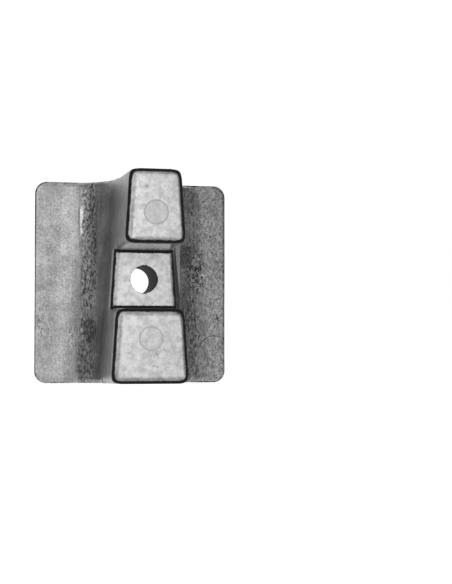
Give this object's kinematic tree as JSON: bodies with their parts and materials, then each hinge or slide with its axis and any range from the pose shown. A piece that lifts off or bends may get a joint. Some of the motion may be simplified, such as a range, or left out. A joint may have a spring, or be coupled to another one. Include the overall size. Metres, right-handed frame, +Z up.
{
  "type": "bolt-on sacrificial anode",
  "caption": "Cast sacrificial anode: a thin rectangular flange with a C-shaped block whose long and short posts straddle a bracket, held by one recessed bolt.",
  "frame": {"origin": "centre of the bolt recess's mouth, in the flange's flat face", "axes": "+Y out of the flat face along the bolt, +Z up towards the long post, +X across the flange"},
  "size_m": [0.081, 0.0605, 0.084],
  "materials": {
    "casting": "as cast, dull grey with darker patches"
  },
  "bodies": {
    "root": {"anode": "casting"}
  },
  "joints": []
}
